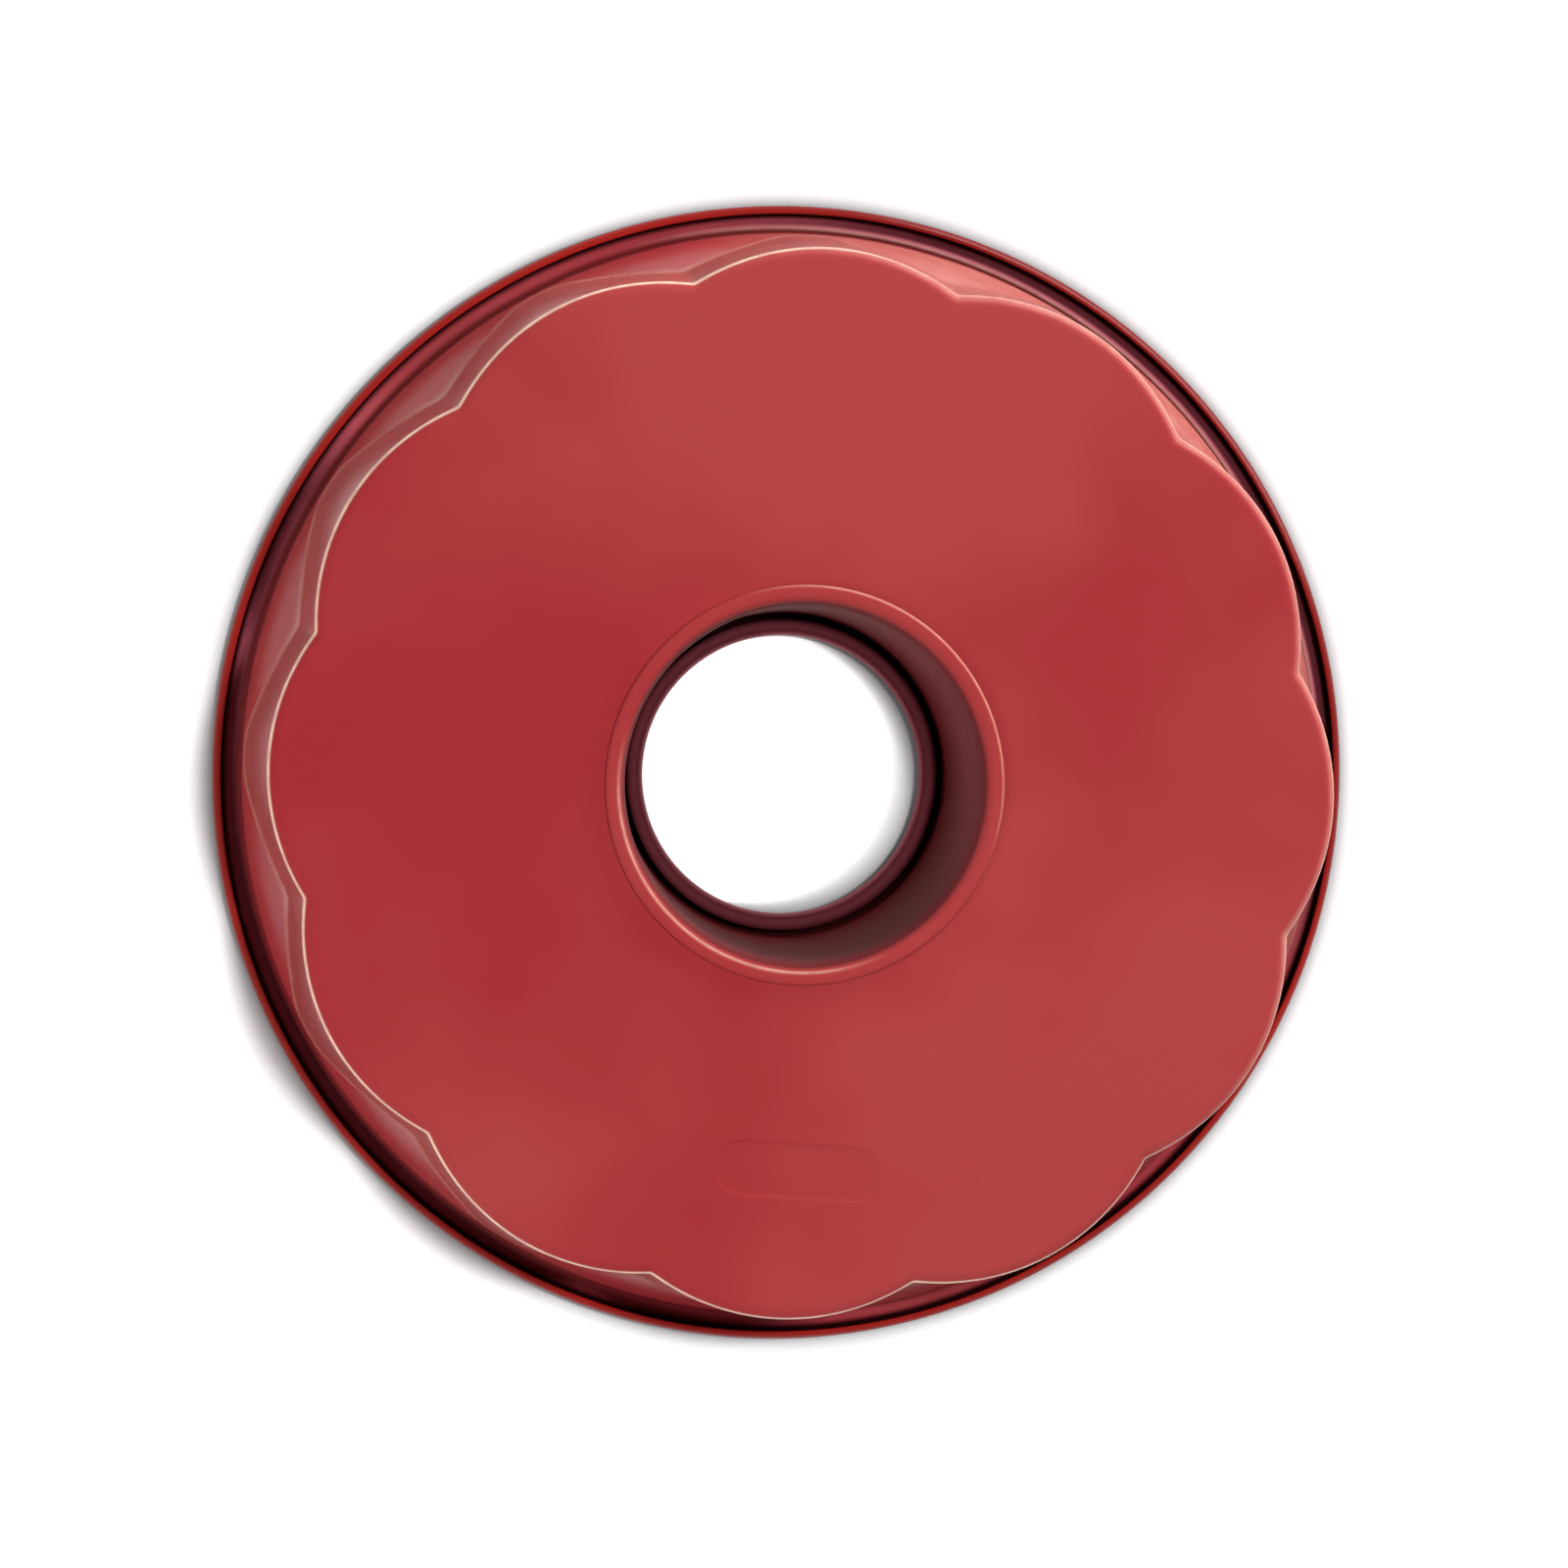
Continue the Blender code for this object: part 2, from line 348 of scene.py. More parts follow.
# bearings are from +X, anticlockwise seen from above; a span holds the cosines of the angles from a
# bearing at which an effect begins and is full
# painted light on the coats: highlights along the edges, a sheen on the lit side, a reflection on the
# flare, and shade in the folds and on the bead, all painted
paintedLightLook = {
    "edge": 0.85,  # how strong the painted highlight along the base's edge is
    "edgeFrom": 50,  # turn of the base's fillet where that painted highlight begins
    "edgeFull": 63,
    "edgeEnd": 84,  # turn from which on it is weaker
    "edgeLeft": 0.6,
    "edgeDimBearing": 17,  # the side where the lamp lights the edge, and its painted highlight is weaker
    "edgeDimSpan": (0.1, 0.6),
    "edgeDimShare": 0.65,
    "paleBearing": 25,  # the side where the wall and the edge get a little painted sheen all over
    "paleSpan": (0.2, 0.7),
    "pale": 0.14,
    "paleFrom": 15,  # turns of the fillet, as above
    "paleFull": 45,
    "paleEnd": 1.9,  # place down the wall where it stops
    "crease": 0.2,  # how strong the painted highlight along the V lines is
    "creaseWidth": 0.16,  # on each side of them, in places down the wall
    "wall": 0.06,  # and how much painted sheen the lobed wall above them has
    "reflectionRows": [0, 0, 0, 0, 0.05, 0.7, 1, 1, 1, 0.9],  # painted reflection, paler and mauve, on the flare's rows, downwards
    "reflectionBearing": 190,  # the side where the flare has all of it
    "reflectionSpan": (0.45, 0.95),
    "reflectionDark": 0.8,  # how much of it is left on the dark side
    "reflectionLeast": 0.1,  # and elsewhere
    "foldRows": [0.4, 0.4, 0.4, 0.38, 0.25, 0, 0, 0, 0.15, 0.65],  # shade over the same rows
    "darkBearing": 40,  # the side where the flare and the bead are darker
    "sideSpan": (0.35, 0.85),  # at this bearing and at the tube's two
    "darkRows": [0.2, 0.2, 0.2, 0.1, 0, 0, 0.2, 0.8, 0.88, 0.88],  # the shade there
    "glintRows": [0, 0, 0, 0, 0.3, 0.7, 0.5, 0, 0, 0],  # and a painted highlight, a glint
    "darkBead": 0.5,
    "tubeFoot": [0.9, 0.8, 0.7],  # shade where the tube's wall runs into its far roll
    "tubeWall": 0.5,  # and on the wall and the neck above
    "lipRows": [0, 0, 0.1, 0.2, 0.3, 0.3, 0.2, 0.1, 0],  # painted highlight over the flange's outer edge
    "lipBearing": 43,
    "mouthRows": [0, 0, 0, 0.15, 0.4, 0.3, 0.1, 0, 0],  # painted highlight over the flange's inner edge
    "mouthBearing": 230,
}


def sideShare(share, middle, span="sideSpan"):  # a share on one side of the pan, fading to 0 round it
    return lambda bearing: share * smoothShare(math.cos(math.radians(bearing - middle)), *paintedLightLook[span])


def most(*shares):  # the largest of several shares, each a number or a function of the bearing
    return lambda bearing: max(share(bearing) if callable(share) else share for share in shares)


def paleShare(share, least=0.0):
    return most(least, sideShare(paintedLightLook["pale"] * share, paintedLightLook["paleBearing"], "paleSpan"))


def edgeHighlightShare(turn):  # painted highlight along the base's edge, at a turn of its fillet
    rise = paintedLightLook["edge"] * smoothShare(turn, paintedLightLook["edgeFrom"], paintedLightLook["edgeFull"])
    if turn >= paintedLightLook["edgeEnd"]:
        rise *= paintedLightLook["edgeLeft"]
    dimmed = sideShare(paintedLightLook["edgeDimShare"], paintedLightLook["edgeDimBearing"], "edgeDimSpan")
    pale = paleShare(smoothShare(turn, paintedLightLook["paleFrom"], paintedLightLook["paleFull"]))
    return most(lambda bearing: rise * (1 - dimmed(bearing)), pale)


# painted reflection on the flare: full on one side, part of it on the dark side, a little elsewhere
def flareReflectionShare(share):
    full = sideShare(share, paintedLightLook["reflectionBearing"], "reflectionSpan")
    dark = sideShare(share * paintedLightLook["reflectionDark"], paintedLightLook["darkBearing"])
    return most(share * paintedLightLook["reflectionLeast"], dark, full)


def foldShare(share, dark):
    return most(share, sideShare(dark, paintedLightLook["darkBearing"]))


def creaseShare(place):  # at a place down the wall
    crease = paintedLightLook["crease"] * smoothShare(abs(place - 1), paintedLightLook["creaseWidth"], 0)
    return max(crease, paintedLightLook["wall"] if place < 1 else 0)


def makeBody(outer, inner):
    shape = bmesh.new()
    layer = shape.verts.layers.int.new("row")
    # masks for painted highlights and sheen, a painted reflection on the flare, and painted shade in the
    # fold and on the bead
    masks = newMasks(shape, ("edgeWear", "rimBloom", "foldShade", "beadShade"))
    flat = bodySizes["baseRow"]
    bend = bodySizes["holeBend"]
    flare = tubeSizes["neckFlare"]
    gap = (bodySizes["sheet"] + tubeSizes["clearance"]) / math.cos(math.radians(flare))
    bendRadius = mouthRadius + gap + bend * math.tan(math.radians(45 - flare / 2))
    lowest = (neckRadius + gap + lean(tubeSizes["clearance"], flare), neckHeight + tubeSizes["clearance"])
    hole = arcPoints((bendRadius, baseHeight - bend), bend, 180 - flare, 90, bodySizes["bendSteps"])
    hole = [lowest] + linePoints(lowest, hole[0], bodySizes["holeSteps"]) + hole
    hole += [(bendRadius + flat * i, baseHeight) for i in (1, 2)]

    last, steps = 90 - bodySizes["peakDraft"], bodySizes["filletSteps"]
    rows = circleRows(hole) + [filletRow(0, 2 * flat), filletRow(0, flat)]
    turns = [last * i / steps for i in range(steps + 1)]
    # painted highlight along the base's edge, then painted sheen and painted highlights on the V lines
    # down the wall
    highlight = {len(rows) + i: edgeHighlightShare(turn) for i, turn in enumerate(turns)}
    rows += [filletRow(turn) for turn in turns]
    for i, place in enumerate(wallPlaces):
        highlight[len(rows) + i] = paleShare(1 if place < paintedLightLook["paleEnd"] else 0, creaseShare(place))
    rows += [wallRow(place) for place in wallPlaces]
    fold = {len(rows) - 1: paintedLightLook["foldRows"][0]}

    rollRadius = bodySizes["rollRadius"]
    flareArc = arcPoints((rollCentre, flareHeight), bodySizes["flareRadius"],
                         180 + bodySizes["collarDraft"], 270, len(paintedLightLook["reflectionRows"]))
    rollArc = arcPoints((rollCentre, rollRadius), rollRadius - bodySizes["sheet"],
                        -90, bodySizes["rollClose"], bodySizes["rollSteps"])
    # painted reflection on the flare, painted shade in its fold, and a painted glint on the dark side
    flareReflection = {len(rows) + i: flareReflectionShare(share) for i, share in enumerate(paintedLightLook["reflectionRows"])}
    for i, shares in enumerate(zip(paintedLightLook["foldRows"], paintedLightLook["darkRows"])):
        fold[len(rows) + i] = foldShare(*shares)
        highlight[len(rows) + i] = sideShare(paintedLightLook["glintRows"][i], paintedLightLook["darkBearing"])
    rows += circleRows(flareArc[:-1])
    bead = {}
    for i in range(len(rollArc)):
        fold[len(rows) + i] = 1
        bead[len(rows) + i] = sideShare(paintedLightLook["darkBead"], paintedLightLook["darkBearing"])
    rows += circleRows(rollArc)

    spinRows(shape, rows[:len(hole)], bodySizes["columns"], layer, 0)
    spinRows(shape, rows[len(hole):], bodySizes["columns"], layer, len(hole))
    shapeRows(shape, rows, layer)
    panelRing = addPanel(shape, layer, len(rows))
    shares = {"edgeWear": highlight, "rimBloom": flareReflection, "foldShade": fold, "beadShade": bead}
    paintRows(shape, layer, masks, shares)
    loops = rowEdges(shape, layer, len(hole) - 1) + rowEdges(shape, layer, len(hole)) + panelRing
    bmesh.ops.triangle_fill(shape, use_beauty=True, use_dissolve=False, edges=loops, normal=(0, 0, 1))
    facesOutward(shape)
    return finishSheet("fluted_shell", shape, outer, inner)


def makeTube(outer, inner):
    shape = bmesh.new()
    layer = shape.verts.layers.int.new("row")
    # masks for painted highlights on the flange's edges and painted shade on the wall
    masks = newMasks(shape, ("edgeWear", "wallShade"))
    sheet = bodySizes["sheet"]
    flare = tubeSizes["neckFlare"]
    roll = tubeSizes["rollRadius"]
    points = arcPoints((tubeSizes["bore"] / 2 + roll, tubeRollHeight), roll - sheet,
                       -180 - tubeSizes["rollClose"], 0, tubeSizes["rollSteps"])
    rise = flangeTop - baseHeight
    shoulder = rise / (1 - math.sin(math.radians(flare)))
    shoulderRadius = mouthRadius + shoulder * math.cos(math.radians(flare))
    shoulderArc = arcPoints((shoulderRadius, flangeTop - shoulder), shoulder,
                            180 - flare, 90, len(paintedLightLook["mouthRows"]) - 1)

    bendFrom = neckHeight - tubeSizes["neckSoft"]  # the wall bends into the neck along a parabola
    bendTo = neckHeight + tubeSizes["neckSoft"]
    wallEnd = (neckRadius - lean(tubeSizes["neckSoft"], tubeSizes["draft"]), bendFrom)
    neckStart = (neckRadius + lean(tubeSizes["neckSoft"], flare), bendTo)
    foot = paintedLightLook["tubeFoot"]
    shade = dict(enumerate([1] * (len(points) - len(foot)) + foot))
    rolled = len(points)
    points += linePoints(points[-1], wallEnd, tubeSizes["wallSteps"])
    for i in range(tubeSizes["neckSteps"] + 1):
        s = i / tubeSizes["neckSteps"]
        radius = (1 - s) ** 2 * wallEnd[0] + 2 * s * (1 - s) * neckRadius + s * s * neckStart[0]
        points.append((radius, bendFrom + (bendTo - bendFrom) * s))
    shade.update({i: paintedLightLook["tubeWall"] for i in range(rolled, len(points))})
    # painted highlights over the flange's inner and outer edges
    highlight = {len(points) + i: sideShare(share, paintedLightLook["mouthBearing"])
            for i, share in enumerate(paintedLightLook["mouthRows"])}
    points += shoulderArc
    edge = tubeSizes["flangeEdge"]
    centre = (shoulderRadius + tubeSizes["flangeFlat"], flangeTop - edge)
    points += linePoints(shoulderArc[-1], (centre[0], flangeTop), tubeSizes["flangeSteps"])
    highlight.update({len(points) + i: sideShare(share, paintedLightLook["lipBearing"])
                 for i, share in enumerate(paintedLightLook["lipRows"])})
    points += arcPoints(centre, edge, 90, 0, len(paintedLightLook["lipRows"]) - 1)

    rows = circleRows(points)
    spinRows(shape, rows, tubeSizes["columns"], layer, 0)
    paintRows(shape, layer, masks, {"edgeWear": highlight, "wallShade": shade})
    facesOutward(shape)
    return finishSheet("tube_shell", shape, outer, inner)


# finishes

sprayLook = {
    "peelScale": 900.0,  # bumps in the sprayed coat, per metre
    "peelHeight": 0.0015 * mm,
    "peelDetail": 2.5,
    "peelRoughness": 0.45,
    "mottleScale": 9.0,
    "mottleDetail": 3.0,
    "mottleFrom": (0.35, 0.6),  # the noise's values that become 0 and 1
    "grain": 0.02,  # how far the roughness strays
    "grainFrom": (0.3, 0.7),
    "breakScale": 220.0,  # patches that break up the painted highlights, reflection and shade, per metre
    "breakDetail": 2.0,
    "breakFrom": (0.4, 0.65),
}
# colour of the painted highlights and sheen
highlightTone = (0.95, 0.66, 0.50, 1)

# each shade: the mask that carries it, its colour, how far patches break it up, and the roughness
# that it adds; the deep tone shows where the mottle is low and in the patch of painted shade
coats = {
    "outerCoat": {
        "main": (0.366, 0.0480, 0.0490, 1),
        "deep": (0.315, 0.0235, 0.0300, 1),
        # painted shade: a wide soft patch on the base's left, where the red is deeper
        "shadePatch": {"middle": (-0.075, 0.005, 0.055), "reach": 0.085, "share": 0.9},
        "roughness": 0.18,
        "specular": 0.03,
        "shades": [
            # painted highlights and sheen
            ("edgeWear", highlightTone, 0.3, 0.1),
            # painted reflection on the flare, paler and mauve
            ("rimBloom", (0.75, 0.16, 0.23, 1), 0.15, 0.1),
            ("foldShade", (0.010, 0.001, 0.002, 1), 0.0, 0.4),
        ],
    },
    "foodCoat": {
        "main": (0.280, 0.0120, 0.0080, 1),
        "deep": (0.260, 0.0100, 0.0070, 1),
        "roughness": 0.22,
        "specular": 0.1,
        "shades": [
            ("beadShade", (0.040, 0.001, 0.003, 1), 0.0, 0.0),
        ],
    },
    "tubeCoat": {
        "main": (0.358, 0.0455, 0.0465, 1),
        "deep": (0.330, 0.0320, 0.0355, 1),
        "roughness": 0.4,
        "specular": 0.02,
        "shades": [
            # painted highlights on the flange's edges
            ("edgeWear", highlightTone, 0.3, 0.1),
            ("wallShade", (0.014, 0.002, 0.003, 1), 0.0, 0.3),
        ],
    },
    "ringCoat": {
        "main": (0.260, 0.0560, 0.0730, 1),
        "deep": (0.240, 0.0500, 0.0660, 1),
        "metallic": 0.9,
        "roughness": 0.5,
        "specular": 0.03,
        "shades": [],
    },
}


def newGroup(name, inputs, outputs):
    group = bpy.data.node_groups.new(name, "ShaderNodeTree")
    for label, kind in inputs:
        group.interface.new_socket(name=label, in_out="INPUT", socket_type=kind)
    for label, kind in outputs:
        group.interface.new_socket(name=label, in_out="OUTPUT", socket_type=kind)
    return group, group.nodes.new("NodeGroupInput"), group.nodes.new("NodeGroupOutput")


def addRange(nodes, links, value, before=(0, 1), after=(0, 1), kind="LINEAR"):
    spread = nodes.new("ShaderNodeMapRange")
    spread.interpolation_type = kind
    spread.inputs["From Min"].default_value, spread.inputs["From Max"].default_value = before
    spread.inputs["To Min"].default_value, spread.inputs["To Max"].default_value = after
    links.new(value, spread.inputs["Value"])
    return spread.outputs["Result"]


def addMath(nodes, links, operation, *values, clamp=False):  # each value is a number or a socket
    worked = nodes.new("ShaderNodeMath")
    worked.operation = operation
    worked.use_clamp = clamp
    for socket, value in zip(worked.inputs, values):
        if isinstance(value, bpy.types.NodeSocket):
            links.new(value, socket)
        else:
            socket.default_value = value
    return worked.outputs["Value"]


def addNoise(nodes, links, vector, scale, detail):
    noise = nodes.new("ShaderNodeTexNoise")
    noise.inputs["Detail"].default_value = detail
    links.new(vector, noise.inputs["Vector"])
    links.new(scale, noise.inputs["Scale"])
    return noise


def makeSprayGroup():  # sprayed coat: fine bumps, grain in the gloss, and a soft mottle
    group, given, result = newGroup(
        "sprayedCoat",
        [("Vector", "NodeSocketVector"), ("Peel Scale", "NodeSocketFloat"),
         ("Mottle Scale", "NodeSocketFloat"), ("Peel Height", "NodeSocketFloat")],
        [("Mottle", "NodeSocketFloat"), ("Grain", "NodeSocketFloat"), ("Normal", "NodeSocketVector")],
    )
    nodes, links = group.nodes, group.links
    place = given.outputs["Vector"]
    peel = addNoise(nodes, links, place, given.outputs["Peel Scale"], sprayLook["peelDetail"])
    peel.inputs["Roughness"].default_value = sprayLook["peelRoughness"]
    mottle = addNoise(nodes, links, place, given.outputs["Mottle Scale"], sprayLook["mottleDetail"])
    spread = addRange(nodes, links, mottle.outputs["Fac"], sprayLook["mottleFrom"])
    bump = nodes.new("ShaderNodeBump")
    links.new(peel.outputs["Fac"], bump.inputs["Height"])
    links.new(given.outputs["Peel Height"], bump.inputs["Distance"])
    links.new(spread, result.inputs["Mottle"])
    links.new(peel.outputs["Fac"], result.inputs["Grain"])
    links.new(bump.outputs["Normal"], result.inputs["Normal"])
    return group


def makePatchGroup():  # a mask that small patches break up
    group, given, result = newGroup(
        "patchyMask",
        [("Vector", "NodeSocketVector"), ("Mask", "NodeSocketFloat"),
         ("Break Scale", "NodeSocketFloat"), ("Break", "NodeSocketFloat")],
        [("Mask", "NodeSocketFloat")],
    )
    nodes, links = group.nodes, group.links
    patches = addNoise(nodes, links, given.outputs["Vector"], given.outputs["Break Scale"],
                       sprayLook["breakDetail"])
    spread = addRange(nodes, links, patches.outputs["Fac"], sprayLook["breakFrom"])
    loss = addMath(nodes, links, "MULTIPLY", spread, given.outputs["Break"])
    kept = addMath(nodes, links, "SUBTRACT", 1, loss)
    masked = addMath(nodes, links, "MULTIPLY", given.outputs["Mask"], kept, clamp=True)
    links.new(masked, result.inputs["Mask"])
    return group


def addShade(material, patchGroup, place, colour, gloss, shade):  # gives back the new colour and roughness
    name, tone, patches, dull = shade
    nodes, links = material.node_tree.nodes, material.node_tree.links
    rows = nodes.new("ShaderNodeAttribute")
    rows.attribute_type = "GEOMETRY"
    rows.attribute_name = name
    patchy = nodes.new("ShaderNodeGroup")
    patchy.node_tree = patchGroup
    patchy.inputs["Break Scale"].default_value = sprayLook["breakScale"]
    patchy.inputs["Break"].default_value = patches
    mixed = nodes.new("ShaderNodeMix")
    mixed.data_type = "RGBA"
    mixed.inputs["B"].default_value = tone
    rougher = addMath(nodes, links, "MULTIPLY_ADD", patchy.outputs["Mask"], dull, gloss)
    links.new(place.outputs["Object"], patchy.inputs["Vector"])
    links.new(rows.outputs["Fac"], patchy.inputs["Mask"])
    links.new(patchy.outputs["Mask"], mixed.inputs["Factor"])
    links.new(colour, mixed.inputs["A"])
    return mixed.outputs["Result"], rougher


def addShadePatch(material, place, mottle, patch):  # painted shade: a wide soft patch where the coat is deeper red
    nodes, links = material.node_tree.nodes, material.node_tree.links
    centred = nodes.new("ShaderNodeMapping")
    centred.vector_type = "TEXTURE"
    centred.inputs["Location"].default_value = patch["middle"]
    centred.inputs["Scale"].default_value = [patch["reach"]] * 3
    ball = nodes.new("ShaderNodeTexGradient")
    ball.gradient_type = "SPHERICAL"
    links.new(place.outputs["Object"], centred.inputs["Vector"])
    links.new(centred.outputs["Vector"], ball.inputs["Vector"])
    fade = addRange(nodes, links, ball.outputs["Fac"], after=(1, 1 - patch["share"]), kind="SMOOTHSTEP")
    return addMath(nodes, links, "MULTIPLY", mottle, fade)


def makeCoat(name, sprayGroup, patchGroup):
    look = coats[name]
    material = bpy.data.materials.new(name)
    material.use_nodes = True
    nodes, links = material.node_tree.nodes, material.node_tree.links
    shader = nodes["Principled BSDF"]
    shader.inputs["Metallic"].default_value = look.get("metallic", 0.0)
    shader.inputs["Specular IOR Level"].default_value = look["specular"]
    place = nodes.new("ShaderNodeTexCoord")
    spray = nodes.new("ShaderNodeGroup")
    spray.node_tree = sprayGroup
    spray.inputs["Peel Scale"].default_value = sprayLook["peelScale"]
    spray.inputs["Mottle Scale"].default_value = sprayLook["mottleScale"]
    spray.inputs["Peel Height"].default_value = sprayLook["peelHeight"]
    colour = nodes.new("ShaderNodeMix")
    colour.data_type = "RGBA"
    colour.inputs["A"].default_value = look["deep"]
    colour.inputs["B"].default_value = look["main"]
    strays = (look["roughness"] - sprayLook["grain"], look["roughness"] + sprayLook["grain"])
    roughness = addRange(nodes, links, spray.outputs["Grain"], sprayLook["grainFrom"], strays)
    links.new(place.outputs["Object"], spray.inputs["Vector"])
    mottle = spray.outputs["Mottle"]
    if "shadePatch" in look:
        mottle = addShadePatch(material, place, mottle, look["shadePatch"])
    links.new(mottle, colour.inputs["Factor"])
    links.new(spray.outputs["Normal"], shader.inputs["Normal"])
    tone = colour.outputs["Result"]
    for shade in look["shades"]:
        tone, roughness = addShade(material, patchGroup, place, tone, roughness, shade)
    links.new(tone, shader.inputs["Base Color"])
    links.new(roughness, shader.inputs["Roughness"])
    return material


# floor, light and camera

studio = {
    "floorReach": 12,  # from its middle to each side
    "floorColour": (0.94, 0.95, 0.96),
    "floorRoughness": 0.9,
    "floorGlow": (0.27, 1.0),  # light it gives where it is seen or mirrored, near the pan and far off
    "glowFrom": (0.8, 2.5),  # how far off these are
    "contactShade": (0.0, 0.014),  # how far beside the pan the floor is shaded, least and most
    "contactFrom": (0.035, 0.08),  # how far from the middle these are
    "contactMiddle": (-0.029, 0.008, 0),  # off the axis, so that the left of the hole stays clear
    "contactPower": 2.0,  # how dark that shade is
    "contactSamples": 4,
    "skyColour": (0.95, 0.97, 1.0, 1),
    "skyLight": (0.10, 0.04),  # light from the horizon and from overhead
    "skyShown": (1.0, 0.4),  # the same where the sky is seen or mirrored
    "cameraFrom": (-0.1097, 0.0507, 0.9927),  # direction from the pan to the lens
    "cameraDistance": 2.2,
    "cameraAside": (0.00129, -0.00263),  # how far the lens is right of that line and above it
    "focalLength": 204.4,
    "sensorWidth": 36.0,
}

# softboxes: the level is how bright a white face turned to the lamp gets at the pan; the bearing is
# from +X and the rise above the horizon; the size is width and height
lamps = {
    "overhead": {
        "level": 0.81,
        "distance": 2.0,
        "bearing": 30,
        "rise": 77.5,
        "size": (0.2, 0.2),
        "mirrored": False,
    },
    "side": {
        "level": 1.4,
        "distance": 1.4,
        "bearing": 45,
        "rise": 9,
        "size": (1.4, 0.4),
        "mirrored": True,
    },
    "fill": {
        "level": 0.57,
        "distance": 1.6,
        "bearing": 208,
        "rise": 27,
        "size": (1.4, 0.5),
        "mirrored": False,
    },
}


def lightPathMask(nodes, links):  # 1 for camera, glossy and transmission rays
    path = nodes.new("ShaderNodeLightPath")
    seen = addMath(nodes, links, "ADD", path.outputs["Is Camera Ray"], path.outputs["Is Glossy Ray"])
    return addMath(nodes, links, "ADD", seen, path.outputs["Is Transmission Ray"], clamp=True)


def makeFloor():
    shape = bmesh.new()
    bmesh.ops.create_grid(shape, x_segments=1, y_segments=1, size=studio["floorReach"])
    mesh = bpy.data.meshes.new("studio_floor")
    shape.to_mesh(mesh)
    shape.free()
    floor = bpy.data.objects.new("studio_floor", mesh)
    bpy.context.scene.collection.objects.link(floor)
    material = bpy.data.materials.new("paleFloor")
    material.use_nodes = True
    nodes, links = material.node_tree.nodes, material.node_tree.links
    place = nodes.new("ShaderNodeTexCoord")
    away = nodes.new("ShaderNodeVectorMath")
    away.operation = "DISTANCE"
    away.inputs[1].default_value = studio["contactMiddle"]
    links.new(place.outputs["Object"], away.inputs[0])
    reach = addRange(nodes, links, away.outputs["Value"], studio["contactFrom"], studio["contactShade"])
    contact = nodes.new("ShaderNodeAmbientOcclusion")
    contact.samples = studio["contactSamples"]
    links.new(reach, contact.inputs["Distance"])
    shade = addMath(nodes, links, "POWER", contact.outputs["AO"], studio["contactPower"])
    tone = nodes.new("ShaderNodeVectorMath")
    tone.operation = "SCALE"
    tone.inputs[0].default_value = studio["floorColour"]
    links.new(shade, tone.inputs["Scale"])
    paint = nodes["Principled BSDF"]
    paint.inputs["Roughness"].default_value = studio["floorRoughness"]
    paint.inputs["Specular IOR Level"].default_value = 0.0
    links.new(tone.outputs["Vector"], paint.inputs["Base Color"])
    level = addRange(nodes, links, away.outputs["Value"], studio["glowFrom"], studio["floorGlow"])
    shown = addMath(nodes, links, "MULTIPLY", lightPathMask(nodes, links), level)
    glow = nodes.new("ShaderNodeEmission")
    joined = nodes.new("ShaderNodeAddShader")
    links.new(addMath(nodes, links, "MULTIPLY", shown, shade), glow.inputs["Strength"])
    links.new(paint.outputs["BSDF"], joined.inputs[0])
    links.new(glow.outputs["Emission"], joined.inputs[1])
    links.new(joined.outputs["Shader"], nodes["Material Output"].inputs["Surface"])
    mesh.materials.append(material)


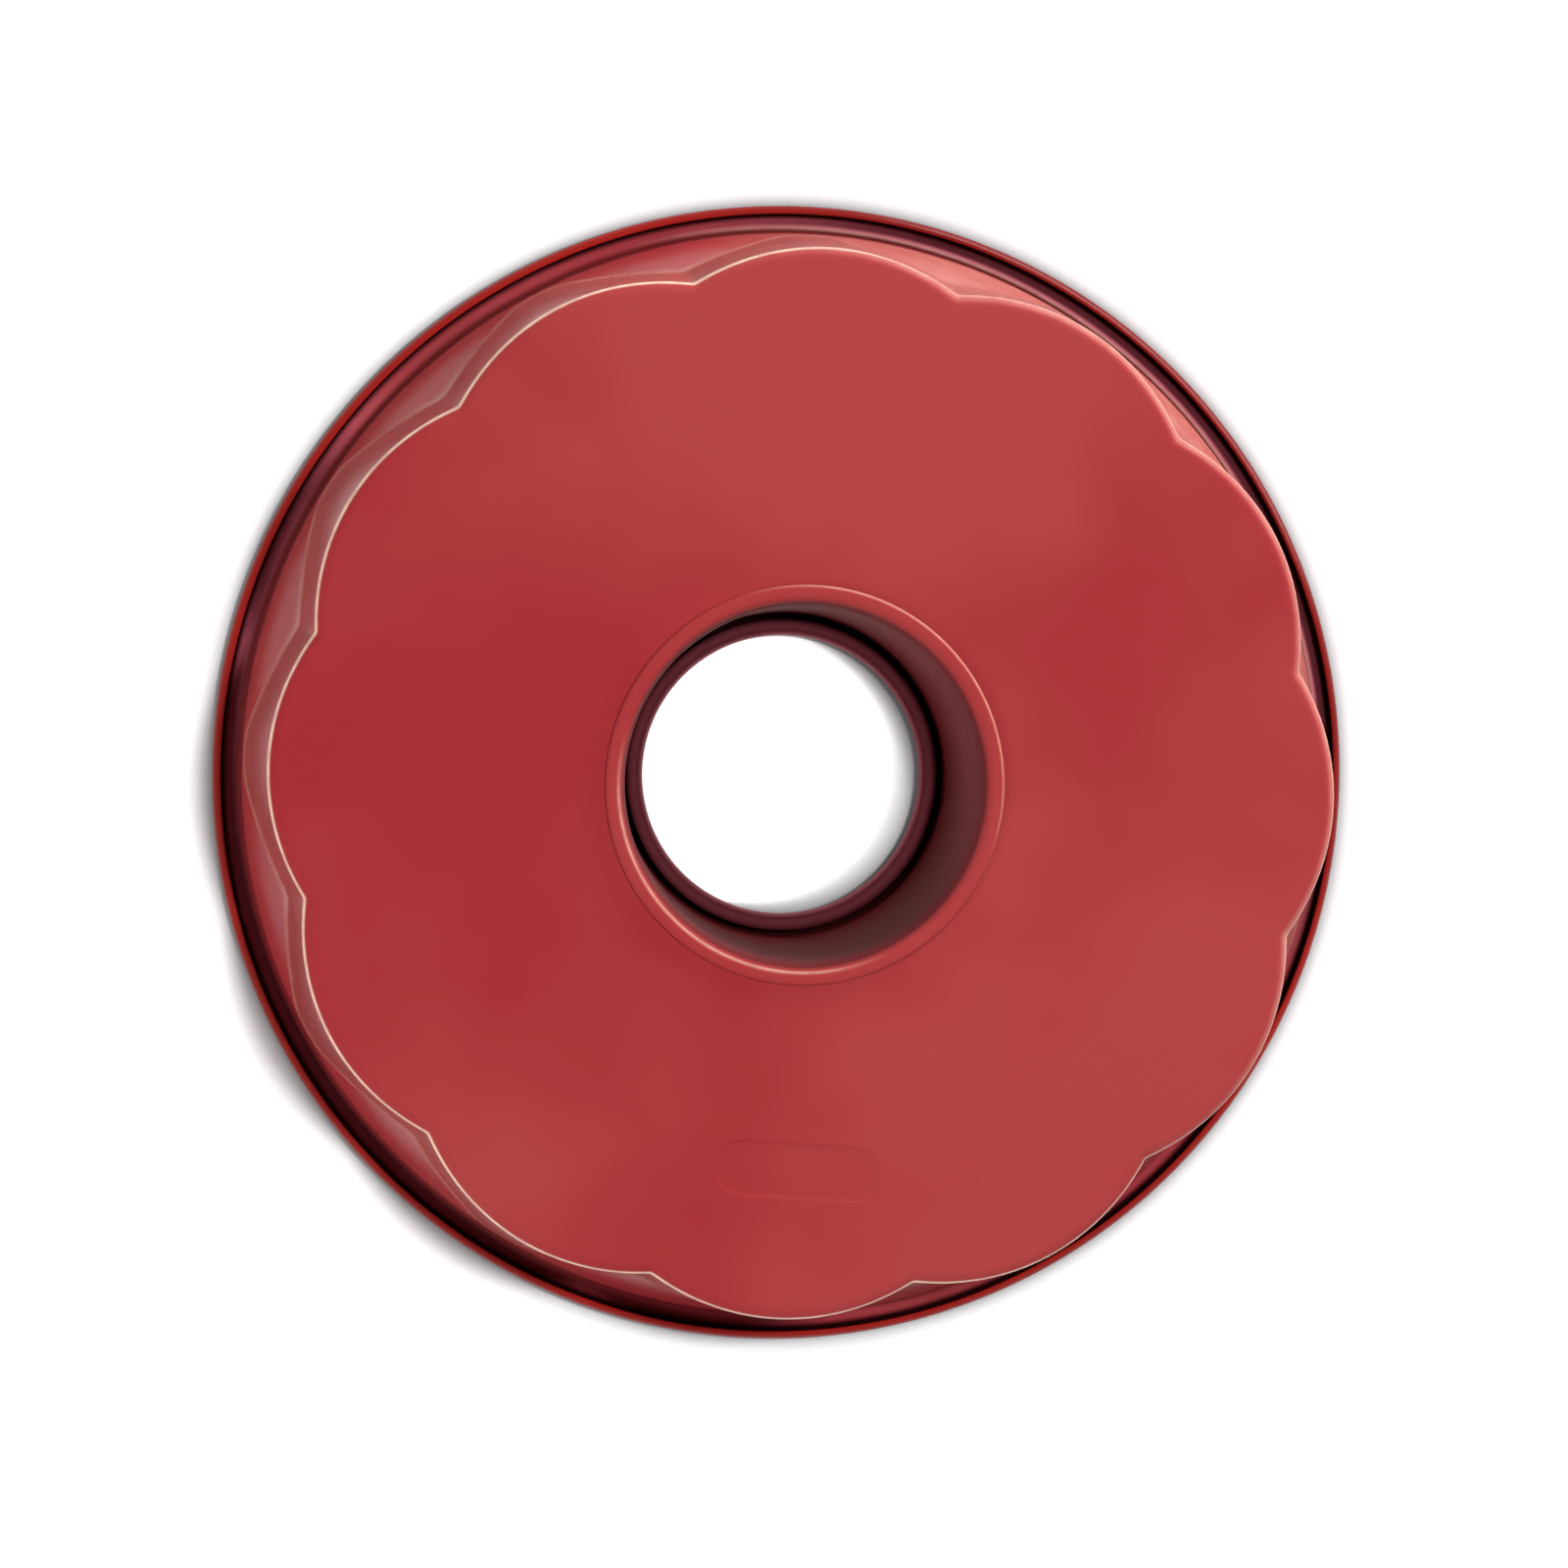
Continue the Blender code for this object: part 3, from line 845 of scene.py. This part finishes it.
def makeWorld():
    world = bpy.data.worlds.new("paleStudio")
    bpy.context.scene.world = world
    world.use_nodes = True
    nodes, links = world.node_tree.nodes, world.node_tree.links
    light = nodes["Background"]
    light.inputs["Color"].default_value = studio["skyColour"]
    direction = nodes.new("ShaderNodeTexCoord")
    parts = nodes.new("ShaderNodeSeparateXYZ")
    strength = nodes.new("ShaderNodeMix")
    links.new(direction.outputs["Generated"], parts.inputs["Vector"])
    for socket, levels in (("A", studio["skyLight"]), ("B", studio["skyShown"])):
        fade = addRange(nodes, links, parts.outputs["Z"], after=levels)  # from the horizon up
        links.new(fade, strength.inputs[socket])
    links.new(lightPathMask(nodes, links), strength.inputs["Factor"])
    links.new(strength.outputs["Result"], light.inputs["Strength"])


def makeLamp(name, lamp):
    data = bpy.data.lights.new(name, "AREA")
    data.shape = "RECTANGLE"
    data.size, data.size_y = lamp["size"]
    data.energy = lamp["level"] * math.pi**2 * lamp["distance"] ** 2
    bearing, rise = math.radians(lamp["bearing"]), math.radians(lamp["rise"])
    across = math.cos(rise)
    towards = Vector((math.cos(bearing) * across, math.sin(bearing) * across, math.sin(rise)))
    made = bpy.data.objects.new(name, data)
    made.visible_glossy = lamp["mirrored"]
    made.location = towards * lamp["distance"]
    made.rotation_mode = "QUATERNION"
    made.rotation_quaternion = (-towards).to_track_quat("-Z", "Y")
    bpy.context.scene.collection.objects.link(made)


def makeCamera():
    data = bpy.data.cameras.new("camera")
    data.lens = studio["focalLength"]
    data.sensor_width = studio["sensorWidth"]
    camera = bpy.data.objects.new("camera", data)
    towards = Vector(studio["cameraFrom"]).normalized()
    turn = Vector((0, 0, 1)).rotation_difference(towards)
    aside = Vector((*studio["cameraAside"], 0))
    camera.rotation_mode = "QUATERNION"
    camera.rotation_quaternion = turn
    camera.location = turn @ aside + towards * studio["cameraDistance"]
    bpy.context.scene.collection.objects.link(camera)
    bpy.context.scene.camera = camera


sprayGroup, patchGroup = makeSprayGroup(), makePatchGroup()
finishes = {name: makeCoat(name, sprayGroup, patchGroup) for name in coats}
print("finishes made")

makeCamera()
fluteShell = makeBody(finishes["outerCoat"], finishes["foodCoat"])
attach(fluteShell, "root")
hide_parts("fluted_body")
print("body made:", len(fluteShell.data.polygons), "faces")

tubeShell = makeTube(finishes["tubeCoat"], finishes["ringCoat"])
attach(tubeShell, "root")
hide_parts("centre_tube")
print("tube made:", len(tubeShell.data.polygons), "faces")

makeFloor()
makeWorld()
for lampName, lamp in lamps.items():
    makeLamp(lampName, lamp)
bpy.context.scene.view_settings.view_transform = "Standard"
print("studio made")
